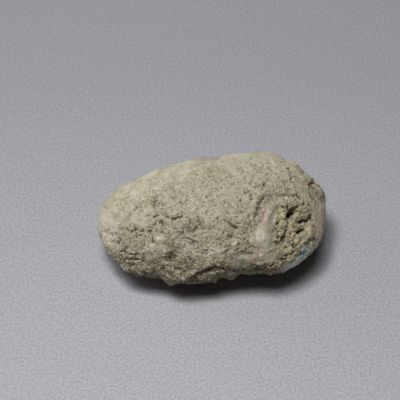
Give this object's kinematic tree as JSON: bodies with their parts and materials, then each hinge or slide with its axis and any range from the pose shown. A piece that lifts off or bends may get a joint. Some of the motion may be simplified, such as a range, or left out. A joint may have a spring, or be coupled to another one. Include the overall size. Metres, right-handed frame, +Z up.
{
  "type": "rough opal nodule",
  "caption": "Rough opal nodule in a sandy tuff rind, with a crumbly open window and milky opal at one end, resting on a small flat spot.",
  "frame": {"origin": "middle of the stone's box, on the plane it rests on", "axes": "+X along the stone towards the end with the open opal window, +Z up from the flat spot, and the broken face with the window looks towards -Y and up"},
  "size_m": [0.046, 0.0294, 0.0184],
  "materials": {
    "tuff_rind": "matte"
  },
  "bodies": {
    "root": {"opal_nodule": "tuff_rind"}
  },
  "joints": []
}
